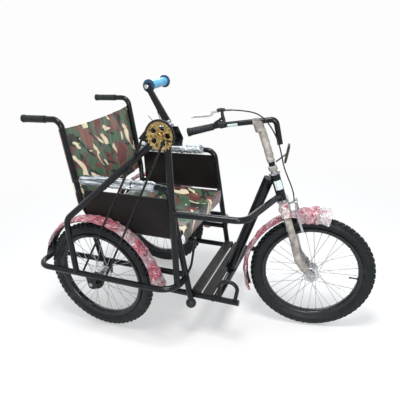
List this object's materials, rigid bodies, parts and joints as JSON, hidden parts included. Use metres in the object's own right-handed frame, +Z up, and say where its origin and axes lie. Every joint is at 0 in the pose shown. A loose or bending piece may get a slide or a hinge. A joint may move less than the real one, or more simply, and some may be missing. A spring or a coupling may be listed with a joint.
{
  "type": "hand-cranked mobility tricycle",
  "caption": "Hand-cranked mobility tricycle with a sling seat, a chain drive from the hand crank to a rear wheel, and tiller steering.",
  "frame": {"origin": "on the floor, under the middle of the tricycle's length and width", "axes": "+X forward, +Y to the rider's left, +Z up"},
  "size_m": [1.4194, 0.7814, 1.0869],
  "materials": {
    "black_paint": "gloss",
    "camouflage_cloth": "matte",
    "clear_film": "gloss",
    "black_vinyl": "satin",
    "black_rubber": "matte",
    "printed_film": "gloss",
    "zinc_steel": "satin",
    "chain_steel": "satin",
    "gold_zinc": "satin",
    "black_steel": "satin",
    "blue_rubber": "matte",
    "grey_wrap": "matte",
    "black_alloy": "satin",
    "amber_lens": "gloss",
    "black_cable": "satin",
    "spoke_steel": "satin",
    "tyre_rubber": "matte"
  },
  "bodies": {
    "frame": {"rail_right": "black_paint", "rail_left": "black_paint", "inner_rails": "black_paint", "back_tube_right": "black_paint", "back_tube_left": "black_paint", "arm_tube_right": "black_paint", "arm_tube_left": "black_paint", "foot_frame": "black_paint", "foot_slats": "black_paint", "seat_frame": "black_paint", "seat_sling": "camouflage_cloth", "back_sling": "camouflage_cloth", "arm_pads": "clear_film", "skirt_panels": "black_vinyl", "push_grips": "black_rubber", "front_frame": "black_paint", "side_tube": "black_paint", "headset_cups": "zinc_steel", "drive_post": "black_paint", "drive_stay": "black_paint", "crank_bracket": "black_paint", "ball_foot": "black_rubber", "fender_right": "printed_film", "fender_left": "printed_film", "rear_axles": "zinc_steel", "chain": "chain_steel"},
    "right_wheel": {"wheel_rear_right": "spoke_steel", "tyre_rear_right": "tyre_rubber"},
    "left_wheel": {"wheel_rear_left": "spoke_steel", "tyre_rear_left": "tyre_rubber"},
    "freewheel": {"freewheel": "chain_steel"},
    "crank": {"crank_sprocket": "gold_zinc", "crank_arm": "black_steel"},
    "crank_grip": {"crank_grip": "blue_rubber"},
    "steering": {"fork": "grey_wrap", "front_axle": "zinc_steel", "stem": "grey_wrap", "tiller": "black_alloy", "tiller_grip": "black_rubber", "brake_lever": "black_alloy", "reflector": "amber_lens", "front_fender": "printed_film", "brake_caliper": "zinc_steel", "brake_cable": "black_cable"},
    "front_wheel": {"wheel_front": "spoke_steel", "tyre_front": "tyre_rubber"}
  },
  "joints": [
    {"name": "right_wheel_spin", "type": "hinge", "parent": "frame", "child": "right_wheel", "pos_m": [-0.40965, -0.303, 0.257], "axis": [0, 1, 0], "continuous": true},
    {"name": "left_wheel_spin", "type": "hinge", "parent": "frame", "child": "left_wheel", "pos_m": [-0.40965, 0.303, 0.257], "axis": [0, 1, 0], "continuous": true},
    {"name": "crank_spin", "type": "hinge", "parent": "frame", "child": "crank", "pos_m": [-0.03765, -0.352, 0.914], "axis": [0, 1, 0], "continuous": true},
    {"name": "freewheel_spin", "type": "hinge", "parent": "frame", "child": "freewheel", "pos_m": [-0.40965, -0.352, 0.257], "axis": [0, 1, 0], "continuous": true},
    {"name": "crank_grip_spin", "type": "hinge", "parent": "crank", "child": "crank_grip", "pos_m": [-0.11877, -0.257, 1.0634], "axis": [0, 1, 0], "continuous": true},
    {"name": "steer", "type": "hinge", "parent": "frame", "child": "steering", "pos_m": [0.31835, 0, 0.581], "axis": [-0.3024, 0, 0.9532], "range_deg": [-50, 30]},
    {"name": "front_wheel_spin", "type": "hinge", "parent": "steering", "child": "front_wheel", "pos_m": [0.45291, 0.00533, 0.25686], "axis": [-0.1655, 0.9848, -0.0525], "continuous": true}
  ],
  "couplings": [
    {"joint": "freewheel_spin", "follows": "crank_spin", "ratio": 1.4444}
  ]
}
